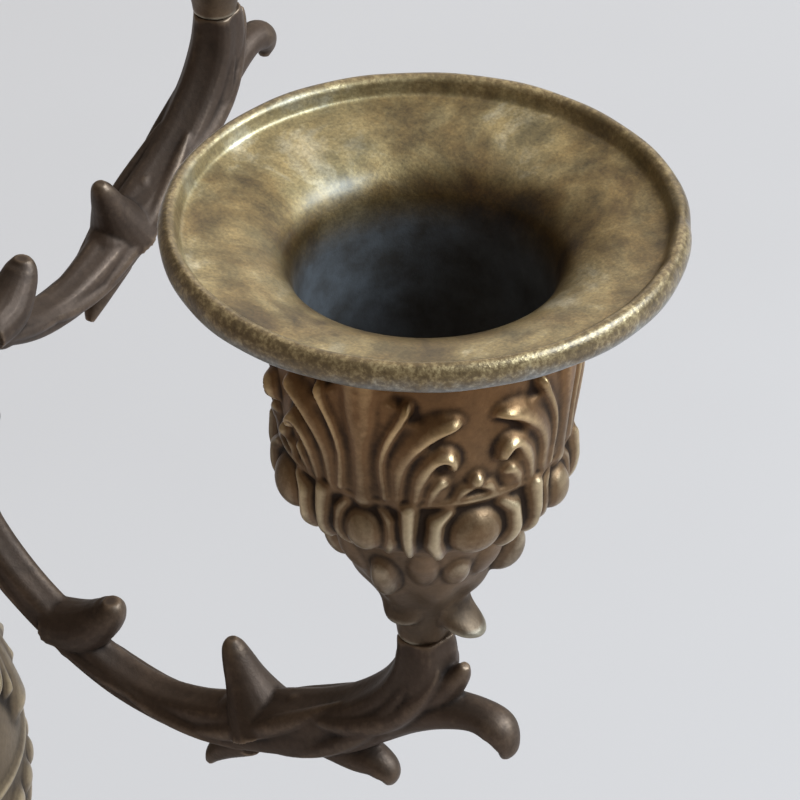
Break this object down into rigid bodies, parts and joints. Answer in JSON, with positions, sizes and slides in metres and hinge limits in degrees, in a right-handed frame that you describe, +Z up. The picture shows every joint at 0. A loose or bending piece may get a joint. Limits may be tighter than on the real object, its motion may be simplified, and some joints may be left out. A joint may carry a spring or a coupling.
{
  "type": "candelabra",
  "caption": "Cast brass candelabra with scroll arms round a baluster stem, leafy candle cups and lift-out drip pans on a round domed base.",
  "frame": {"origin": "centre of the base's underside, on the surface it stands on", "axes": "+Z up the stem; +X and +Y along two of the four arms"},
  "size_m": [0.2, 0.2, 0.3195],
  "materials": {
    "pan_brass": "worn greenish-gold, satin",
    "cup_brass": "aged brown-gold, satin",
    "arm_bronze": "dark brown patina over brass",
    "stem_brass": "aged brown-gold, satin",
    "steel": "plain turned steel",
    "iron": "rough casting",
    "felt": "green baize"
  },
  "bodies": {
    "stand": {"base_felt": "felt", "base_casting": "stem_brass", "base_ballast": "iron", "rod_washer": "steel", "rod_nut": "steel", "tie_rod": "steel", "base_collar": "stem_brass", "lower_knop": "stem_brass", "stem_baluster": "stem_brass", "vase_foot": "stem_brass", "vase_body": "stem_brass", "vase_neck": "stem_brass", "hub_collar": "stem_brass", "branch_hub": "stem_brass", "hub_cap": "stem_brass", "centre_column": "stem_brass", "arm_right": "arm_bronze", "arm_back": "arm_bronze", "arm_left": "arm_bronze", "arm_front": "arm_bronze", "arm_set_screws": "steel", "cup_right": "cup_brass", "cup_back": "cup_brass", "cup_left": "cup_brass", "cup_front": "cup_brass", "cup_centre": "cup_brass", "cup_washers": "steel", "cup_nuts": "steel"},
    "pan_right": {"bobeche_right": "pan_brass"},
    "pan_back": {"bobeche_back": "pan_brass"},
    "pan_left": {"bobeche_left": "pan_brass"},
    "pan_front": {"bobeche_front": "pan_brass"},
    "pan_centre": {"bobeche_centre": "pan_brass"}
  },
  "joints": [
    {"name": "lift_right", "type": "slide", "parent": "stand", "child": "pan_right", "axis": [0, 0, 1], "range_m": [0, 0.03]},
    {"name": "lift_back", "type": "slide", "parent": "stand", "child": "pan_back", "axis": [0, 0, 1], "range_m": [0, 0.03]},
    {"name": "lift_left", "type": "slide", "parent": "stand", "child": "pan_left", "axis": [0, 0, 1], "range_m": [0, 0.03]},
    {"name": "lift_front", "type": "slide", "parent": "stand", "child": "pan_front", "axis": [0, 0, 1], "range_m": [0, 0.03]},
    {"name": "lift_centre", "type": "slide", "parent": "stand", "child": "pan_centre", "axis": [0, 0, 1], "range_m": [0, 0.03]}
  ]
}
